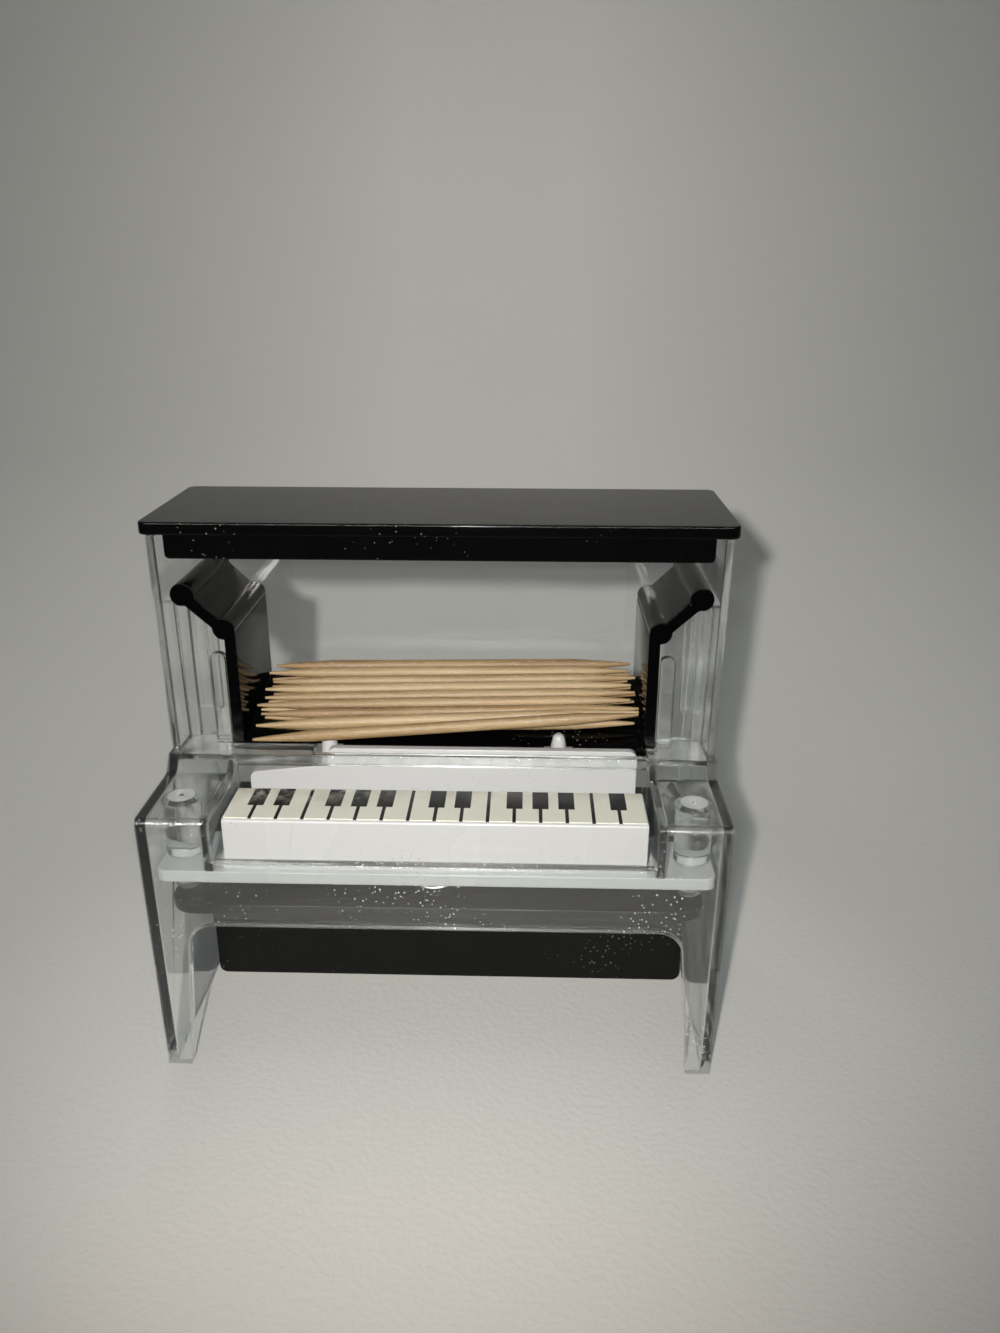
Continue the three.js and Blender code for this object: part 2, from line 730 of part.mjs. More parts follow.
function placePick(group, name, xShare, left, right) {
  const pick = addMesh(group, name, pickGeometry(), birch);
  const from = new THREE.Vector3(-pickLength / 2, ...left);
  const to = new THREE.Vector3(pickLength / 2, ...right);
  pick.position.copy(from).add(to).multiplyScalar(0.5);
  pick.position.x = xShare * endSlack;
  pick.quaternion.setFromUnitVectors(new THREE.Vector3(1, 0, 0), to.sub(from).normalize());
}

// Rows as shares of the row pitch at the left and right ends, with the sideways share
const lowerRowShares = [
  [0, 0.9, 0.2], [1.05, 1.86, 0.9], [2.1, 2.81, -0.2], [3.15, 3.77, 0.6],
  [4.2, 4.72, 1], [5.25, 5.68, 0.3], [6.3, 6.63, -0.1], [7.3, 7.59, 0.8],
];
const upperRowShares = [
  [0.2, 1.5, 0.9], [1.35, 2.62, -0.3], [2.35, 3.65, 0.6], [3.5, 4.65, 0.1],
  [4.55, 5.7, 1], [5.8, 6.7, -0.2], [6.85, 7.7, 0.5],
];

function makePicks(group) {
  const rows = [
    ...lowerRowShares.map((shares) => [...shares, 0]),
    ...upperRowShares.map((shares) => [...shares, 1]),
  ];
  rows.forEach(([leftShare, rightShare, xShare, layer], i) => {
    placePick(
      group, `toothpick_${String(i + 1).padStart(2, '0')}`, xShare,
      overFloor(leftShare * pickRowPitch, layer), overFloor(rightShare * pickRowPitch, layer),
    );
  });
  const liftedY = fingerY - pickRadius / 2;
  const liftedZ = fingerTop + pickRadius;
  placePick(
    group, 'toothpick_on_fingers', fingerPickShare,
    [liftedY, liftedZ], [liftedY + fingerPickSwing, liftedZ + fingerPickRise],
  );
  const servedY = fingerY - 2 * pickRadius - servedGap;
  const servedZ = ledgeTop + pickRadius - servedSink;
  placePick(
    group, 'toothpick_served', servedShare,
    [servedY, servedZ], [servedY + servedSwing, servedZ + servedRise],
  );
}

const dispenser = new THREE.Group();
const assembly = new THREE.Group();
assembly.position.y = -originY;
dispenser.add(assembly);
addMesh(assembly, 'case_body', makeCase(), clear);
addMesh(assembly, 'base', makeBase(), black);
addMesh(assembly, 'keyboard', makeKeyboard(), white);
addMesh(assembly, 'key_label', makeLabel(), paper);
addMesh(assembly, 'return_spring', makeSpring(), steel).position.y = springY;
addMesh(assembly, 'hopper', makeHopper(), black);
addMesh(assembly, 'lid', makeLid(), black);
makePicks(assembly);

export default dispenser;
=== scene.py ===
"""Toothpick dispenser shaped like a small upright piano.

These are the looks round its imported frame, in metres.
"""
import math
import random
import bmesh
import bpy
from mathutils import Matrix, Vector


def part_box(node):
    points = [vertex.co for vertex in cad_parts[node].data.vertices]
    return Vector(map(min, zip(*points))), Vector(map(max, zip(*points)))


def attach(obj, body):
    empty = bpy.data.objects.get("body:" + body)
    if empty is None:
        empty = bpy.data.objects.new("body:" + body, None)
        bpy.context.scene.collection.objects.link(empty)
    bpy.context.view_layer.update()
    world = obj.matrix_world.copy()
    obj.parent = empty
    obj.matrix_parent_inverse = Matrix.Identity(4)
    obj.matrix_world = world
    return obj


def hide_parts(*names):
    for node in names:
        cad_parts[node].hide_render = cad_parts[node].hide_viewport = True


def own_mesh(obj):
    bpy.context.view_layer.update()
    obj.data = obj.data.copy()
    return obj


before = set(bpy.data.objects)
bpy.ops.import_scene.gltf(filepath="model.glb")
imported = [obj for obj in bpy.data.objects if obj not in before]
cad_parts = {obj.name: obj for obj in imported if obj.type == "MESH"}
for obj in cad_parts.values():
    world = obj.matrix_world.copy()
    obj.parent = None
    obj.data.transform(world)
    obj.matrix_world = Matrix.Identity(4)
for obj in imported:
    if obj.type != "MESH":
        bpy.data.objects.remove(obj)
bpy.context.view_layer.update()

MM = 0.001
UP = Vector((0, 0, 1))

# The photograph's camera: place, tilts in degrees and lens over the long side of the picture
CAMERA_PLACE = Vector((14.38, -168.33, 127.73)) * MM
CAMERA_PITCH = 20.84
CAMERA_YAW = -1.555
CAMERA_ROLL = 0.089
FOCAL_PIXELS = 1066.9
PICTURE_HEIGHT = 1333
SENSOR = 36.0
CLIP_START = 5 * MM

# A small warm lamp just behind the lens. Powers are in watts and beams in degrees.
LAMP_PLACE = Vector((-4, -200, 145)) * MM
LAMP_AIM = Vector((0, 120, 65)) * MM
LAMP_SIZE = 6 * MM
LAMP_POWER = 2.02
LAMP_BEAM = 95
LAMP_COLOUR = (1.0, 0.975, 0.93)
# A broad cool panel overhead
FILL_PLACE = Vector((-60, 20, 480)) * MM
FILL_SIZE = 420 * MM
FILL_POWER = 0.14
FILL_COLOUR = (0.90, 0.96, 1.0)
# A narrow lamp above and behind, in the panel's colour
BACK_PLACE = Vector((-80, 185, 330)) * MM
BACK_SIZE = 60 * MM
BACK_BEAM = 28
BACK_POWER = 0.2
# A long strip behind the lens, in the small lamp's colour, seen only as glints along edges
GLINT_PLACE = Vector((0, -200, 150)) * MM
GLINT_LENGTH = 320 * MM
GLINT_HEIGHT = 9 * MM
GLINT_POWER = 1.0
# Where the panel, the lamp behind and the strip point
PART_MIDDLE = Vector((0, 0, 45)) * MM
# How many bounces away a lamp still counts, on matt surfaces and as a highlight
MATT_BOUNCES = 12
GLOSS_BOUNCES = 8

# The room's even light, and how bright the room shows to each kind of ray
WORLD_COLOUR = (0.80, 0.88, 0.92, 1)
WORLD_STRENGTH = 0.035
WORLD_SEEN = 0.4
WORLD_IN_CLEAR = 0.32
WORLD_IN_GLOSS = 0.015
WORLD_SHOWN = {
    "Is Camera Ray": WORLD_SEEN,
    "Is Transmission Ray": WORLD_IN_CLEAR,
    "Is Glossy Ray": WORLD_IN_GLOSS,
}

# Paper sweep: flat under and in front of the object, rising behind and at the sides.
# The rise is by a direction's sine, 1 straight back: none below RISE_FROM, all of it a span on.
SWEEP_FLAT = 90 * MM
SWEEP_RADIUS = 150 * MM
SWEEP_TOP = 900 * MM
SWEEP_STEPS = 40
SWEEP_SIDES = 128
RISE_FROM = -0.35
RISE_SPAN = 0.6
FLOOR_REACH = 3000 * MM
FLOOR_DROP = 0.3 * MM
# Over this distance from the object's middle the paper fades to the room's shade
HAZE_FROM = 360 * MM
HAZE_TO = 800 * MM


def fill(tree, node, inputs):
    """Set a node's inputs, or link them where the value is another node's output."""
    for key, value in inputs.items():
        if isinstance(value, bpy.types.NodeSocket):
            tree.links.new(value, node.inputs[key])
        else:
            node.inputs[key].default_value = value
    return node


# Rays for each edge that the shader rounds
EDGE_SAMPLES = 6

# Where most of a noise's height lies, and nearly all of it
MOST = (0.3, 0.7)
NEARLY_ALL = (0.2, 0.8)

# Specks lie in clumps: how coarse a clump is beside its grains, and how soft its rim
CLUMP_COARSENESS = 0.05
CLUMP_FADE = 0.25


class Graph:
    """A material's node tree, written as nested calls.

    Scales count waves to a metre. The pairs that ramp gets are shares of a noise's height,
    of the label's depth or of how a surface faces, or lengths in metres.
    """

    def __init__(self, name):
        self.material = bpy.data.materials.new(name)
        self.material.use_nodes = True
        self.tree = self.material.node_tree
        self.tree.nodes.clear()
        self.place = self.add("ShaderNodeTexCoord").outputs["Object"]

    def add(self, kind, inputs=None, **settings):
        node = self.tree.nodes.new(kind)
        for key, value in settings.items():
            setattr(node, key, value)
        return fill(self.tree, node, inputs or {})

    def axes(self):
        """The x, y and z of the shaded point."""
        return self.add("ShaderNodeSeparateXYZ", {0: self.place}).outputs

    def math(self, operation, a, b=0.0, c=0.0):
        return self.add("ShaderNodeMath", {0: a, 1: b, 2: c}, operation=operation).outputs[0]

    def times(self, first, *others):
        """All the values multiplied."""
        for other in others:
            first = self.math("MULTIPLY", first, other)
        return first

    def above(self, value, limit):
        return self.math("GREATER_THAN", value, limit)

    def below(self, value, limit):
        return self.math("LESS_THAN", value, limit)

    def apart(self, a, b):
        """How far a is from b."""
        return self.math("ABSOLUTE", self.math("SUBTRACT", a, b))

    def ramp(self, value, low, high, start=0.0, end=1.0):
        """value from low..high, held at both ends, turned into start..end."""
        return self.add("ShaderNodeMapRange", {
            "Value": value, "From Min": low, "From Max": high, "To Min": start, "To Max": end,
        }).outputs[0]

    def blend(self, share, first, second):
        return self.add(
            "ShaderNodeMix", {"Factor": share, "A": first, "B": second}, data_type="RGBA",
        ).outputs["Result"]

    def stretched(self, scale):
        return self.add("ShaderNodeMapping", {"Vector": self.place, "Scale": scale}).outputs[0]

    def noise(self, scale, detail=3.0, stretch=(1, 1, 1), distortion=0.0):
        return self.add("ShaderNodeTexNoise", {
            "Vector": self.stretched(stretch),
            "Scale": scale, "Detail": detail, "Distortion": distortion,
        }).outputs["Fac"]

    def specks(self, scale, size, spread):
        """1 on small round grains, thinned out by a broad noise, and 0 elsewhere."""
        cell = self.add("ShaderNodeTexVoronoi", {"Vector": self.place, "Scale": scale})
        broad = self.noise(scale * CLUMP_COARSENESS, detail=2.0)
        clumps = self.ramp(broad, spread, spread + CLUMP_FADE)
        return self.below(cell.outputs["Distance"], self.times(clumps, size))

    def bump(self, height, distance, edge=0.0):
        """A fine relief, over edges that look rounded by edge where that is given."""
        inputs = {"Height": height, "Distance": distance, "Strength": 1.0}
        if edge:
            bevel = self.add("ShaderNodeBevel", {"Radius": edge}, samples=EDGE_SAMPLES)
            inputs["Normal"] = bevel.outputs["Normal"]
        return self.add("ShaderNodeBump", inputs).outputs["Normal"]

    def rays(self):
        """Which kind of ray it is that looks."""
        return self.add("ShaderNodeLightPath").outputs

    def mixed(self, share, first, second):
        return self.add("ShaderNodeMixShader", {0: share, 1: first, 2: second}).outputs[0]

    def principled(self, inputs):
        return self.add("ShaderNodeBsdfPrincipled", inputs).outputs["BSDF"]

    def finish(self, surface):
        self.add("ShaderNodeOutputMaterial", {"Surface": surface})
        return self.material


# The guide posts' ends, seen through the top of the key bed, are roughened and painted whitish;
# the white is painted light, standing for the white plate seen down each clear post. The mark is
# full from the dimple's rim out to POST_FULL, and none at all at its floor and beyond POST_RADIUS
POST_X = 41.4 * MM
POST_Y = -15.65 * MM
POST_LOW = 45.2 * MM
POST_HIGH = 47.6 * MM
POST_RADIUS = 2.55 * MM
POST_FULL = 2.04 * MM
POST_DIMPLE_RIM = 0.55 * MM
POST_DIMPLE_FLOOR = 0.33 * MM


def post_end_frost_and_painted_light(g):
    """1 on the round ends of the guide posts, fading to 0 in the dimple at their middle."""
    x, y, z = g.axes()
    across = g.math("SUBTRACT", g.math("ABSOLUTE", x), POST_X)
    behind = g.math("SUBTRACT", y, POST_Y)
    squares = g.math("ADD", g.times(across, across), g.times(behind, behind))
    reach = g.math("SQRT", squares)
    out_of_dimple = g.ramp(reach, POST_DIMPLE_FLOOR, POST_DIMPLE_RIM)
    inside_rim = g.ramp(reach, POST_RADIUS, POST_FULL)
    at_height = g.times(g.above(z, POST_LOW), g.below(z, POST_HIGH))
    return g.times(g.times(out_of_dimple, inside_rim), at_height)


# Clear plastic: tints of its body, and of the light that it passes straight and grazing
CLEAR_TINT = (0.955, 0.97, 0.965, 1)
PASSED_STRAIGHT = (0.94, 0.955, 0.95, 1)
PASSED_GRAZING = (0.26, 0.30, 0.31, 1)
CLEAR_IOR = 1.5
CLEAR_COAT = 0.35
CLEAR_COAT_ROUGHNESS = 0.16
CLEAR_RIPPLE = 0.35 * MM
CLEAR_EDGE = 0.6 * MM
# How much is seen through it where it is clean, and where it is fully covered, by dust and by the
# painted white at the posts' ends
SEEN_CLEAN = 0.985
SEEN_UNDER_DUST_AND_PAINTED_WHITE = 0.35
# How far the painted white at a post's end hides what is behind it, standing for the white plate
# seen down the post, and how rough the end is
PAINTED_POST_WHITE = 0.72
MARK_ROUGHNESS = 0.4
# The case's gloss from clean to smeared, by the streaks in a noise drawn out along z
CLEAR_ROUGHNESS = (0.012, 0.07)
STREAK_SCALE = 55
STREAK_STRETCH = (1, 1, 0.35)
STREAKS = (0.45, 0.75)
RIPPLE_SCALE = 38
# How a surface faces the ray, from where light passes it straight to where it grazes
GRAZING = (0.4, 0.75)
# The case's dust lies on its front, from the key bed's edge forward
CASE_DUST = {"scale": 1000, "size": 0.15, "spread": 0.36}
DUST_BACK = -19.5 * MM
DUST_FRONT = -22 * MM


def make_clear(name):
    """Clear plastic with a faint haze and dust, and with the posts' ends roughened and painted
    whitish as painted light of the white plate seen down them.

    It passes the light of lamps and of matt surfaces straight, less where that grazes.
    """
    g = Graph(name)
    _, ahead, _ = g.axes()
    dust = g.times(g.specks(**CASE_DUST), g.ramp(ahead, DUST_BACK, DUST_FRONT))
    streaks = g.noise(STREAK_SCALE, detail=5.0, stretch=STREAK_STRETCH)
    smears = g.ramp(streaks, *STREAKS, *CLEAR_ROUGHNESS)
    # Painted light: the posts' ends turn whitish where the white plate would be seen down the
    # clear posts.
    mark = post_end_frost_and_painted_light(g)
    dust_and_painted_white = g.math("MAXIMUM", dust, g.times(mark, PAINTED_POST_WHITE))
    surface = g.principled({
        "Base Color": CLEAR_TINT,
        "Roughness": g.math("MAXIMUM", smears, g.times(mark, MARK_ROUGHNESS)),
        "IOR": CLEAR_IOR,
        "Transmission Weight": g.ramp(dust_and_painted_white, 0, 1, start=SEEN_CLEAN, end=SEEN_UNDER_DUST_AND_PAINTED_WHITE),
        "Coat Weight": CLEAR_COAT,
        "Coat Roughness": CLEAR_COAT_ROUGHNESS,
        "Normal": g.bump(g.noise(RIPPLE_SCALE, detail=2.0), CLEAR_RIPPLE, CLEAR_EDGE),
    })
    facing = g.add("ShaderNodeLayerWeight", {"Blend": 0.5}).outputs["Facing"]
    passed = g.blend(g.ramp(facing, *GRAZING), PASSED_STRAIGHT, PASSED_GRAZING)
    straight = g.add("ShaderNodeBsdfTransparent", {"Color": passed}).outputs[0]
    rays = g.rays()
    for ray in ("Is Diffuse Ray", "Is Shadow Ray"):
        surface = g.mixed(rays[ray], surface, straight)
    return g.finish(surface)


# Moulded plastic. A film of handling dulls its colour, and smears roughen its gloss.
PLASTIC_IOR = 1.46
PLASTIC_EDGE = 0.35 * MM
PLASTIC_DUST = {"scale": 1100, "size": 0.2, "spread": 0.46}
FILM_SCALE = 26
FILM = (0.4, 0.8)
FILM_SHARE = 0.35
FILM_SHADE = 0.86
FILM_HAZE = 0.001
SMEAR_SCALE = 70
SMEAR_STRETCH = (1, 1, 0.4)
SMEAR_CURL = 0.8
SMEARS = (0.35, 0.75)
SMEAR_ROUGHNESS = 0.12
SKIN_SCALE = 900


def make_plastic(name, colour, roughness, dust_colour, dust_share, gloss=0.5, grain=0.02 * MM):
    """Moulded plastic: an even colour with smears in its gloss, dust and a faint skin."""
    g = Graph(name)
    dust = g.times(g.specks(**PLASTIC_DUST), dust_share)
    film = g.ramp(g.noise(FILM_SCALE, detail=6.0), *FILM, end=FILM_SHARE)
    filmed = [c * FILM_SHADE + FILM_HAZE for c in colour]
    shade = g.blend(film, (*colour, 1), (*filmed, 1))
    smears = g.noise(SMEAR_SCALE, detail=6.0, stretch=SMEAR_STRETCH, distortion=SMEAR_CURL)
    surface = g.principled({
        "Base Color": g.blend(dust, shade, (*dust_colour, 1)),
        "Roughness": g.ramp(smears, *SMEARS, start=roughness, end=roughness + SMEAR_ROUGHNESS),
        "IOR": PLASTIC_IOR,
        "Specular IOR Level": gloss,
        "Normal": g.bump(g.noise(SKIN_SCALE, detail=3.0), grain, PLASTIC_EDGE),
    })
    return g.finish(surface)


# Birch: pale flecks over grain that runs along x. Waves to a metre, along it and across.
GRAIN = (90, 1500, 1500)
GRAIN_CURL = 0.6
FIBRES = (700, 5200, 5200)
BANDS = (22, 260, 260)
TONES = (0.25, 0.7)
FLECKS = (0.58, 0.72)
FLECK = (0.78, 0.64, 0.44, 1)
FLECK_SHARE = 0.4
WOOD_ROUGHNESS = (0.42, 0.66)
WOOD_IOR = 1.45
WOOD_RELIEF = 0.06 * MM


def make_birch(name, dark, light):
    """Turned birch between two tones, with fine grain, broad bands and pale flecks."""
    g = Graph(name)
    grain = g.noise(1.0, detail=6.0, stretch=GRAIN, distortion=GRAIN_CURL)
    fibres = g.noise(1.0, detail=2.0, stretch=FIBRES)
    bands = g.ramp(g.noise(1.0, detail=2.0, stretch=BANDS), *MOST)
    tone = g.math("MULTIPLY_ADD", bands, 0.5, g.times(grain, 0.5))
    wood = g.blend(g.ramp(tone, *TONES), (*dark, 1), (*light, 1))
    flecks = g.times(g.ramp(fibres, *FLECKS), FLECK_SHARE)
    surface = g.principled({
        "Base Color": g.blend(flecks, wood, FLECK),
        "Roughness": g.ramp(grain, *NEARLY_ALL, *WOOD_ROUGHNESS),
        "IOR": WOOD_IOR,
        "Normal": g.bump(g.math("ADD", grain, fibres), WOOD_RELIEF),
    })
    return g.finish(surface)


# The spring's steel. Waves to a metre across the wire's coil and along its axis.
STEEL_COLOUR = (0.85, 0.85, 0.84, 1)
STEEL_ROUGHNESS = (0.42, 0.55)
STEEL_RELIEF = 0.01 * MM
DRAWN = (900, 900, 5000)


def make_steel(name):
    """Drawn wire, with a fine uneven sheen."""
    g = Graph(name)
    drawn = g.noise(1.0, detail=3.0, stretch=DRAWN)
    surface = g.principled({
        "Base Color": STEEL_COLOUR,
        "Metallic": 1.0,
        "Roughness": g.ramp(drawn, *MOST, *STEEL_ROUGHNESS),
        "Normal": g.bump(drawn, STEEL_RELIEF),
    })
    return g.finish(surface)


# Printed keys: sixteen white keys, as shares of one key's width and of the label's depth.
# A black key lies over each line between two white ones, but not over an octave's own
# first line or its line number BARE_LINE.
KEY_COUNT = 16
KEYS_IN_OCTAVE = 7
BARE_LINE = 3
LINE_SHARE = 0.068
BLACK_WIDTH_SHARE = 0.31
BLACK_FRONT_SHARE = 0.415
# The low keys are worn: all the way up to the first count of keys, and not beyond the second.
# Elsewhere they are worn in patches, and everywhere more towards the back.
WORN_FULLY = 2.0
WORN_KEYS = 7.0
WORN_DEPTH = (0.45, 0.95)
PATCH_SCALE = 38
PATCH_RIMS = (0.5, 0.66)
PATCH_SHARE = 0.6
RUB_SCALE = 520
RUBBED = (0.44, 0.62)
INK_LOST = 0.6
# Stains: how dirty the low end and the back edge are, and how that grows towards the back
STAIN_SCALE = 160
STAINED = (0.4, 0.66)
LOW_END_DIRT = 0.75
BACK_EDGE = (0.55, 1.0)
BACK_EDGE_DIRT = 0.5
DIRTY_DEPTH = (0.25, 0.9)
FRONT_DIRT = 0.15
INK = (0.009, 0.0095, 0.009, 1)
CREAM = (0.92, 0.92, 0.80, 1)
STAIN = (0.46, 0.42, 0.32, 1)
LABEL_IOR = 1.45
LABEL_GLOSS = 0.22
LABEL_ROUGHNESS = (0.34, 0.5)
LABEL_ROUGHNESS_SCALE = 300
LABEL_RELIEF = 0.03 * MM
LABEL_RELIEF_SCALE = 700


def printed_ink(g, along, depth):
    """1 on the lines between the keys and on the black keys."""
    number = g.math("ROUND", along)
    off = g.apart(along, number)
    inside = g.times(g.above(along, 0.5), g.below(along, KEY_COUNT - 0.5))
    line = g.below(off, LINE_SHARE)
    place = g.math("MODULO", number, KEYS_IN_OCTAVE)
    past_first = g.above(place, 0.5)
    off_bare = g.above(g.apart(place, BARE_LINE), 0.5)
    black = g.times(g.below(off, BLACK_WIDTH_SHARE), g.above(depth, BLACK_FRONT_SHARE))
    black = g.times(black, g.times(past_first, off_bare))
    return g.times(g.math("MAXIMUM", line, black), inside)


def make_label(name):
    """Cream paper printed with lines and black keys, worn and stained towards its back edge."""
    low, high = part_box("key_label")
    g = Graph(name)
    x, y, _ = g.axes()
    along = g.ramp(x, low.x, high.x, start=0.0, end=KEY_COUNT)
    depth = g.ramp(y, low.y, high.y)
    rubbed = g.ramp(g.noise(RUB_SCALE, detail=6.0), *RUBBED)
    low_end = g.ramp(along, WORN_FULLY, WORN_KEYS, start=1.0, end=0.0)
    patches = g.ramp(g.noise(PATCH_SCALE, detail=2.0), *PATCH_RIMS, end=PATCH_SHARE)
    where_worn = g.times(g.math("MAXIMUM", low_end, patches), g.ramp(depth, *WORN_DEPTH))
    kept = g.math("SUBTRACT", 1.0, g.times(rubbed, where_worn, INK_LOST))
    ink = g.times(printed_ink(g, along, depth), kept)
    back_edge = g.ramp(depth, *BACK_EDGE, end=BACK_EDGE_DIRT)
    dirty = g.math("MAXIMUM", g.times(low_end, LOW_END_DIRT), back_edge)
    dirty = g.times(dirty, g.ramp(depth, *DIRTY_DEPTH, start=FRONT_DIRT))
    stain = g.times(g.ramp(g.noise(STAIN_SCALE, detail=5.0), *STAINED), dirty)
    roughness = g.noise(LABEL_ROUGHNESS_SCALE, detail=4.0)
    surface = g.principled({
        "Base Color": g.blend(ink, g.blend(stain, CREAM, STAIN), INK),
        "Roughness": g.ramp(roughness, *MOST, *LABEL_ROUGHNESS),
        "IOR": LABEL_IOR,
        "Specular IOR Level": LABEL_GLOSS,
        "Normal": g.bump(g.noise(LABEL_RELIEF_SCALE, detail=4.0), LABEL_RELIEF),
    })
    return g.finish(surface)


# The backdrop's paper: two shades in broad patches, a painted shade for its sides where the lamps'
# light falls off, and a painted warm tint of lamp light for its front
PAPER_DARK = (0.93, 0.92, 0.885, 1)
PAPER_LIGHT = (0.96, 0.95, 0.915, 1)
PAINTED_SIDE_SHADE = (0.56, 0.56, 0.545, 1)
PAINTED_FRONT_WARMTH = (0.965, 0.905, 0.835, 1)
PAPER_ROUGHNESS = 0.85
PAPER_GLOSS = 0.25
PAPER_RELIEF = 0.12 * MM
PAPER_RELIEF_SCALE = 900
PAPER_PATCH_SCALE = 9
# Where the painted shade of its sides sets in, by the way out and the height, and where the
# painted warm light of its front sets in
SIDES_OUT = (30 * MM, 160 * MM)
SIDES_UP = (-10 * MM, 70 * MM)
SIDES_LOW_SHARE = 0.35
FRONT_AHEAD = (-20 * MM, -100 * MM)


def make_sweep_paper(name):
    """Matt paper, with painted shade up its two sides where the lamps' light falls off, and a
    painted warm tint of lamp light towards the front.

    Rays straight from the camera or through clear plastic see it fade out far away.
    """
    g = Graph(name)
    patches = g.ramp(g.noise(PAPER_PATCH_SCALE, detail=3.0), *MOST)
    x, y, z = g.axes()
    # Painted shade: the paper darkens outward and up its sides, where the lamps' light falls off.
    outward = g.ramp(g.math("ABSOLUTE", x), *SIDES_OUT)
    sides = g.times(outward, g.ramp(z, *SIDES_UP, start=SIDES_LOW_SHARE))
    paper = g.blend(patches, PAPER_DARK, PAPER_LIGHT)
    # Painted light: the paper turns warmer towards the front, where the small warm lamp lights it.
    paper = g.blend(g.ramp(y, *FRONT_AHEAD), paper, PAINTED_FRONT_WARMTH)
    surface = g.principled({
        "Base Color": g.blend(sides, paper, PAINTED_SIDE_SHADE),
        "Roughness": PAPER_ROUGHNESS,
        "Specular IOR Level": PAPER_GLOSS,
        "Normal": g.bump(g.noise(PAPER_RELIEF_SCALE, detail=4.0), PAPER_RELIEF),
    })
    level = g.add("ShaderNodeVectorMath", {0: g.place, 1: (1, 1, 0)}, operation="MULTIPLY")
    distance = g.add("ShaderNodeVectorMath", {0: level.outputs[0]}, operation="LENGTH")
    rays = g.rays()
    seen = g.math("MAXIMUM", rays["Is Camera Ray"], rays["Is Transmission Ray"])
    haze = g.add("ShaderNodeEmission", {"Color": WORLD_COLOUR, "Strength": WORLD_SEEN})
    share = g.times(g.ramp(distance.outputs["Value"], HAZE_FROM, HAZE_TO), seen)
    return g.finish(g.mixed(share, surface, haze.outputs[0]))


def link(obj):
    bpy.context.scene.collection.objects.link(obj)
    return obj


def smooth(mesh, degrees):
    """Shade a mesh smoothly, but for edges that turn by more than degrees."""
    mesh.shade_smooth()
    mesh.set_sharp_from_angle(angle=math.radians(degrees))


# Edges that turn by more than this many degrees are real ones, and those under FLAT are none
SHARP = 30
FLAT = 0.5
SAME_PLACE = 0.002 * MM


def dressed(node, body, material, width, segments=2):
    """A copy of a rigid CAD node with its flat faces joined up and its edges rounded."""
    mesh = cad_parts[node].data.copy()
    form = bmesh.new()
    form.from_mesh(mesh)
    bmesh.ops.remove_doubles(form, verts=form.verts, dist=SAME_PLACE)
    bmesh.ops.dissolve_limit(
        form, angle_limit=math.radians(FLAT), verts=form.verts, edges=form.edges,
    )
    form.to_mesh(mesh)
    form.free()
    mesh.materials.clear()
    mesh.materials.append(material)
    piece = link(bpy.data.objects.new(f"{node}_shell", mesh))
    rounding = piece.modifiers.new("rounded edges", "BEVEL")
    rounding.width = width
    rounding.segments = segments
    rounding.limit_method = "ANGLE"
    rounding.angle_limit = math.radians(SHARP)
    rounding.use_clamp_overlap = True
    rounding.harden_normals = True
    smooth(mesh, SHARP)
    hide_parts(node)
    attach(piece, body)
    return piece


# Toothpicks: the radius grows by a power of the way along the taper, then stays even
PICK_SIDES = 24
PICK_TAPER = 10.5 * MM
PICK_RINGS_IN_TAPER = 7
PICK_RINGS_BETWEEN = (0.3, 0.4, 0.5, 0.6, 0.7)
PICK_RADIUS = 1.05 * MM
PICK_TIP = 0.24 * MM
PICK_SWELL = 0.85
PICK_SMOOTH = 50
PICK_END_DEPTH = 0.3 * MM
# How much the turning varies: the thickness across one side, and from ring to ring
PICK_FLAT = (0.93, 0.985)
PICK_WORN = (0.965, 1.0)


def pick_ends(node):
    """Both ends of a CAD toothpick: the middle of its leftmost and of its rightmost ring."""
    points = [v.co.copy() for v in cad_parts[node].data.vertices]
    axis_guess = max(points, key=lambda p: p.x) - min(points, key=lambda p: p.x)
    ordered = sorted(points, key=lambda p: p.dot(axis_guess))
    reach = PICK_END_DEPTH * axis_guess.length
    first = [p for p in ordered if p.dot(axis_guess) - ordered[0].dot(axis_guess) < reach]
    last = [p for p in ordered if ordered[-1].dot(axis_guess) - p.dot(axis_guess) < reach]
    return sum(first, Vector()) / len(first), sum(last, Vector()) / len(last)


def pick_profile(length):
    """Places along a pick and its radius at each, from one tip to the other."""
    taper = []
    for ring in range(PICK_RINGS_IN_TAPER + 1):
        share = ring / PICK_RINGS_IN_TAPER
        radius = PICK_TIP + (PICK_RADIUS - PICK_TIP) * share ** PICK_SWELL
        taper.append((share * PICK_TAPER, radius))
    between = [(length * share, PICK_RADIUS) for share in PICK_RINGS_BETWEEN]
    mirrored = [(length - along, radius) for along, radius in reversed(taper)]
    return [*taper, *between, *mirrored]


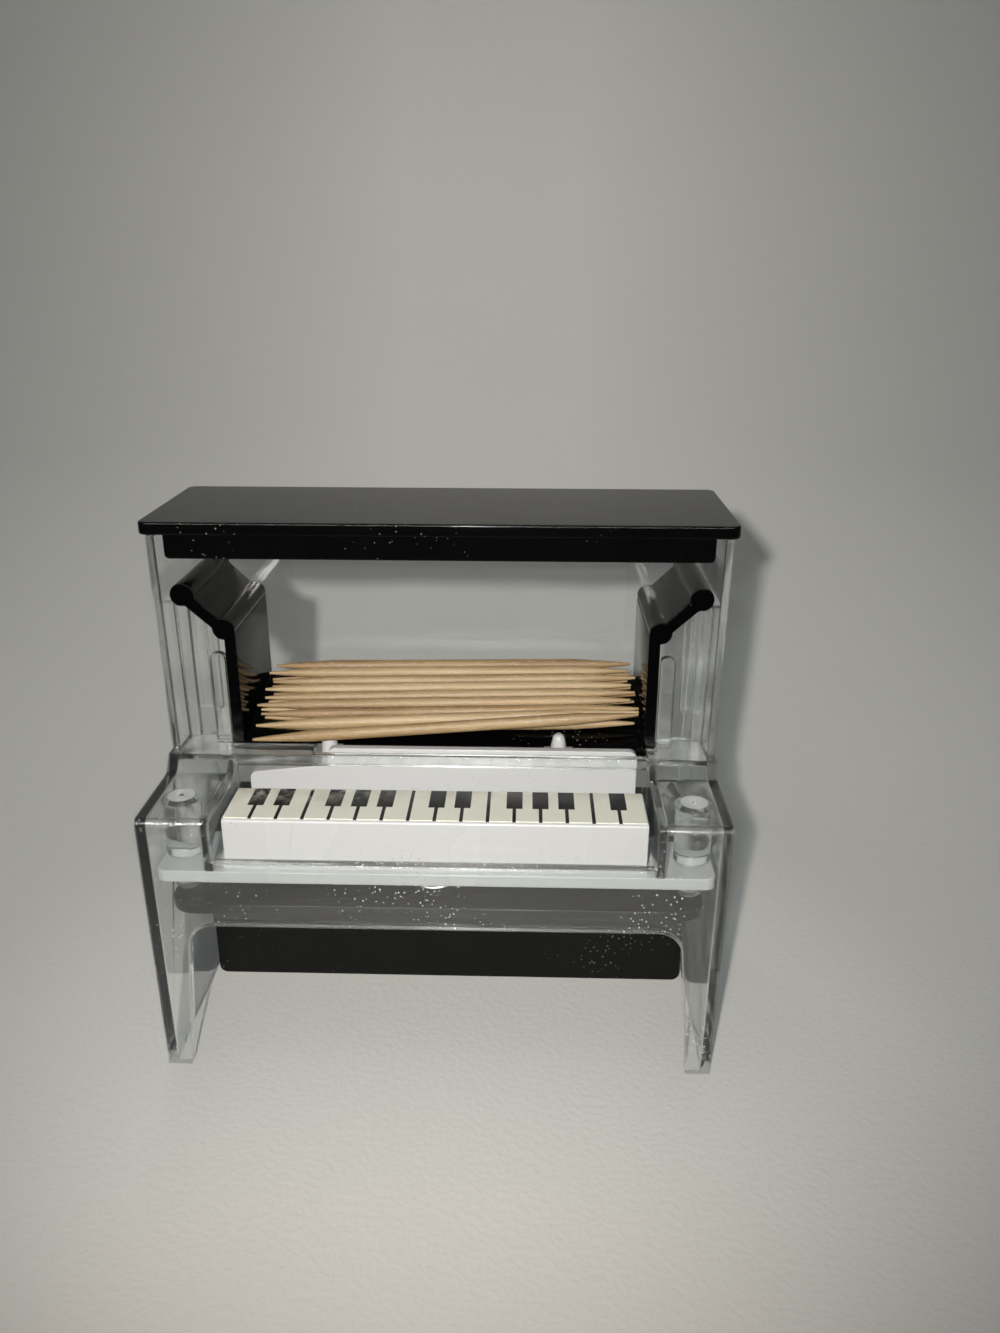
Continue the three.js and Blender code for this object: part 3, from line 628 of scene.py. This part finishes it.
def make_pick(node, body, material, seed):
    """A turned pick: long tapers with blunt tips, a hair out of round and uneven."""
    draw = random.Random(seed)
    start, end = pick_ends(node)
    axis = (end - start).normalized()
    side = axis.cross(UP).normalized()
    up = side.cross(axis)
    phase = draw.uniform(0, 2 * math.pi)
    flat = draw.uniform(*PICK_FLAT)
    form = bmesh.new()
    rings = []
    for along, radius in pick_profile((end - start).length):
        worn = radius * draw.uniform(*PICK_WORN)
        ring = []
        for corner in range(PICK_SIDES):
            turn = 2 * math.pi * corner / PICK_SIDES
            reach = worn * (1 - (1 - flat) * (0.5 + 0.5 * math.cos(2 * turn + phase)))
            out = side * math.cos(turn) + up * math.sin(turn)
            ring.append(form.verts.new(start + axis * along + out * reach))
        rings.append(ring)
    for near, far in zip(rings, rings[1:]):
        for corner in range(PICK_SIDES):
            after = (corner + 1) % PICK_SIDES
            form.faces.new((near[corner], near[after], far[after], far[corner]))
    form.faces.new(list(reversed(rings[0])))
    form.faces.new(rings[-1])
    bmesh.ops.recalc_face_normals(form, faces=form.faces)
    mesh = bpy.data.meshes.new(f"{node}_wood")
    form.to_mesh(mesh)
    form.free()
    mesh.materials.append(material)
    smooth(mesh, PICK_SMOOTH)
    piece = link(bpy.data.objects.new(f"{node}_wood", mesh))
    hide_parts(node)
    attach(piece, body)
    return piece


# Spring: its wire's thickness and roundness, and the rise and the steps of each turn
WIRE = 0.5 * MM
WIRE_ROUNDNESS = 4
SPRING_PITCH = 2.1 * MM
SPRING_STEPS = 24


def spring_line(radius, low, high):
    """A coil round the z axis from one height to another, with upright ends."""
    bottom = low + WIRE
    top = high - WIRE
    steps = round((top - bottom) / SPRING_PITCH) * SPRING_STEPS
    points = [Vector((radius, 0, low))]
    for step in range(steps + 1):
        turn = 2 * math.pi * step / SPRING_STEPS
        height = bottom + (top - bottom) * step / steps
        points.append(Vector((radius * math.cos(turn), radius * math.sin(turn), height)))
    points.append(Vector((radius, 0, high)))
    return points


def make_spring(material):
    """A drawn-wire coil on the CAD spring's own centre line at rest, fixed to the dispenser; the
    CAD spring shortens with the keys, this coil does not.
    """
    low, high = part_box("return_spring")
    middle = (low + high) / 2
    points = spring_line((high.x - low.x - WIRE) / 2, low.z, high.z)
    curve = bpy.data.curves.new("spring_wire", "CURVE")
    curve.dimensions = "3D"
    curve.bevel_depth = WIRE / 2
    curve.bevel_resolution = WIRE_ROUNDNESS
    curve.use_fill_caps = True
    line = curve.splines.new("POLY")
    line.points.add(len(points) - 1)
    for slot, point in zip(line.points, points):
        slot.co = (point.x + middle.x, point.y + middle.y, point.z, 1)
    drawn = link(bpy.data.objects.new("spring line", curve))
    shaped = drawn.evaluated_get(bpy.context.evaluated_depsgraph_get())
    mesh = bpy.data.meshes.new_from_object(shaped)
    bpy.data.objects.remove(drawn)
    mesh.name = "spring_wire"
    mesh.materials.append(material)
    mesh.shade_smooth()
    piece = link(bpy.data.objects.new("spring_wire", mesh))
    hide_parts("return_spring")
    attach(piece, "dispenser")
    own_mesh(piece)
    return piece


def eased(share):
    """A share held to 0..1 that starts and ends gently."""
    share = min(1.0, max(0.0, share))
    return share * share * (3 - 2 * share)


def make_sweep():
    """One sheet of paper under and round the object, with a table under it."""
    profile = [(SWEEP_FLAT, 0.0)]
    for step in range(1, SWEEP_STEPS + 1):
        angle = (math.pi / 2) * step / SWEEP_STEPS
        out = SWEEP_FLAT + SWEEP_RADIUS * math.sin(angle)
        profile.append((out, SWEEP_RADIUS * (1 - math.cos(angle))))
    profile.append((SWEEP_FLAT + SWEEP_RADIUS, SWEEP_TOP))
    form = bmesh.new()
    centre = form.verts.new((0, 0, 0))
    rings = []
    for radius, height in profile:
        ring = []
        for k in range(SWEEP_SIDES):
            angle = 2 * math.pi * k / SWEEP_SIDES
            lift = height * eased((math.sin(angle) - RISE_FROM) / RISE_SPAN)
            ring.append(form.verts.new((radius * math.cos(angle), radius * math.sin(angle), lift)))
        rings.append(ring)
    for k in range(SWEEP_SIDES):
        form.faces.new((centre, rings[0][k], rings[0][(k + 1) % SWEEP_SIDES]))
    for near, far in zip(rings, rings[1:]):
        for k in range(SWEEP_SIDES):
            after = (k + 1) % SWEEP_SIDES
            form.faces.new((near[k], far[k], far[after], near[after]))
    mesh = bpy.data.meshes.new("sweep")
    form.to_mesh(mesh)
    form.free()
    paper = make_sweep_paper("paper sweep")
    mesh.materials.append(paper)
    mesh.shade_smooth()
    table = bpy.data.meshes.new("table")
    ways = [(-1, -1), (1, -1), (1, 1), (-1, 1)]
    corners = [(FLOOR_REACH * x, FLOOR_REACH * y, -FLOOR_DROP) for x, y in ways]
    table.from_pydata(corners, [], [(0, 1, 2, 3)])
    table.materials.append(paper)
    link(bpy.data.objects.new("sweep", mesh))
    link(bpy.data.objects.new("table", table))


def make_camera():
    """The photograph's camera, from its place, tilts and lens."""
    data = bpy.data.cameras.new("camera")
    data.sensor_width = SENSOR
    data.lens = FOCAL_PIXELS * SENSOR / PICTURE_HEIGHT
    data.clip_start = CLIP_START
    camera = link(bpy.data.objects.new("camera", data))
    pitch, yaw, roll = (math.radians(a) for a in (CAMERA_PITCH, CAMERA_YAW, CAMERA_ROLL))
    level = math.cos(pitch)
    ahead = Vector((math.sin(yaw) * level, math.cos(yaw) * level, -math.sin(pitch)))
    right = Vector((math.cos(yaw), -math.sin(yaw), 0))
    up = right.cross(ahead)
    across = right * math.cos(roll) + up * math.sin(roll)
    upright = up * math.cos(roll) - right * math.sin(roll)
    turn = Matrix((across, upright, -ahead)).transposed().to_4x4()
    camera.matrix_world = Matrix.Translation(CAMERA_PLACE) @ turn
    bpy.context.scene.camera = camera


def place_lamp(data, place, aim, power, colour, lights):
    """Set a lamp that lights matt surfaces, or shows as highlights in glossy and clear ones."""
    data.energy = power
    data.color = colour
    data.cycles.max_bounces = MATT_BOUNCES if lights == "matt" else GLOSS_BOUNCES
    lamp = link(bpy.data.objects.new(data.name, data))
    lamp.visible_transmission = False
    lamp.visible_diffuse = lights == "matt"
    lamp.visible_glossy = lights == "gloss"
    turn = (aim - place).to_track_quat("-Z", "Y").to_matrix().to_4x4()
    lamp.matrix_world = Matrix.Translation(place) @ turn


def make_spot(name, beam, size):
    data = bpy.data.lights.new(name, "SPOT")
    data.spot_size = math.radians(beam)
    data.spot_blend = 1.0
    data.shadow_soft_size = size / 2
    return data


def make_panel(name, shape, size):
    data = bpy.data.lights.new(name, "AREA")
    data.shape = shape
    data.size = size
    return data


def make_light():
    """Three lamps, each as one for matt surfaces and one for highlights, and a glint strip."""
    for lights in ("matt", "gloss"):
        key = make_spot(f"lamp beside the lens, {lights}", LAMP_BEAM, LAMP_SIZE)
        place_lamp(key, LAMP_PLACE, LAMP_AIM, LAMP_POWER, LAMP_COLOUR, lights)
        back = make_spot(f"lamp over the back, {lights}", BACK_BEAM, BACK_SIZE)
        place_lamp(back, BACK_PLACE, PART_MIDDLE, BACK_POWER, FILL_COLOUR, lights)
        panel = make_panel(f"soft lamp overhead, {lights}", "DISK", FILL_SIZE)
        place_lamp(panel, FILL_PLACE, PART_MIDDLE, FILL_POWER, FILL_COLOUR, lights)
    glint = make_panel("strip that glints along the edges", "RECTANGLE", GLINT_LENGTH)
    glint.size_y = GLINT_HEIGHT
    place_lamp(glint, GLINT_PLACE, PART_MIDDLE, GLINT_POWER, LAMP_COLOUR, "gloss")


def make_room():
    """The room as an even light, shown brighter inside clear plastic and nearly dark in gloss."""
    world = bpy.data.worlds.new("room")
    world.use_nodes = True
    tree = world.node_tree
    rays = tree.nodes.new("ShaderNodeLightPath").outputs
    strength = WORLD_STRENGTH
    for ray, shown in WORLD_SHOWN.items():
        mix = tree.nodes.new("ShaderNodeMix")
        fill(tree, mix, {"Factor": rays[ray], "A": strength, "B": shown})
        strength = mix.outputs["Result"]
    fill(tree, tree.nodes["Background"], {"Color": WORLD_COLOUR, "Strength": strength})
    bpy.context.scene.world = world


PALE_DUST = (0.35, 0.34, 0.32)
GREY_DUST = (0.25, 0.23, 0.2)

clear = make_clear("clear polystyrene")
black = make_plastic(
    "black gloss plastic", colour=(0.0015, 0.0015, 0.0018), roughness=0.07,
    dust_colour=PALE_DUST, dust_share=0.5, gloss=0.22,
)
deep = make_plastic(
    "black hopper plastic", colour=(0.0012, 0.0012, 0.0014), roughness=0.06,
    dust_colour=PALE_DUST, dust_share=0.5, gloss=0.09,
)
satin = make_plastic(
    "black satin plastic", colour=(0.004, 0.004, 0.004), roughness=0.27,
    dust_colour=PALE_DUST, dust_share=0.4, gloss=0.22, grain=0.04 * MM,
)
white = make_plastic(
    "white plastic", colour=(0.635, 0.64, 0.64), roughness=0.2,
    dust_colour=GREY_DUST, dust_share=0.35,
)
label = make_label("printed keys")
steel = make_steel("drawn steel")
pale_birch = make_birch("birch pale", dark=(0.35, 0.225, 0.10), light=(0.56, 0.41, 0.225))
birch = make_birch("birch", dark=(0.31, 0.19, 0.08), light=(0.51, 0.36, 0.19))
brown_birch = make_birch("birch brown", dark=(0.25, 0.14, 0.058), light=(0.45, 0.295, 0.14))

dressed("case_body", "dispenser", clear, width=0.42 * MM, segments=3)
dressed("base", "dispenser", satin, width=0.3 * MM)
dressed("hopper", "dispenser", deep, width=0.22 * MM)
dressed("keyboard", "keyboard", white, width=0.25 * MM)
dressed("key_label", "keyboard", label, width=0.04 * MM)
dressed("lid", "lid", black, width=0.3 * MM)
make_spring(steel)

# The pile's picks, by their numbers in the frame
PILE = range(1, 16)
BROWN_PICKS = {5, 9, 15}
PALE_PICKS = {3, 8, 12, 14}
# Seeds of the two picks that have no number
SEED_ON_FINGERS = 31
SEED_SERVED = 32
for number in PILE:
    wood = brown_birch if number in BROWN_PICKS else pale_birch if number in PALE_PICKS else birch
    make_pick(f"toothpick_{number:02d}", "dispenser", wood, seed=number)
make_pick("toothpick_on_fingers", "dispenser", pale_birch, seed=SEED_ON_FINGERS)
make_pick("toothpick_served", "served_toothpick", birch, seed=SEED_SERVED)

make_sweep()
make_camera()
make_light()
make_room()
bpy.context.scene.view_settings.view_transform = "Standard"
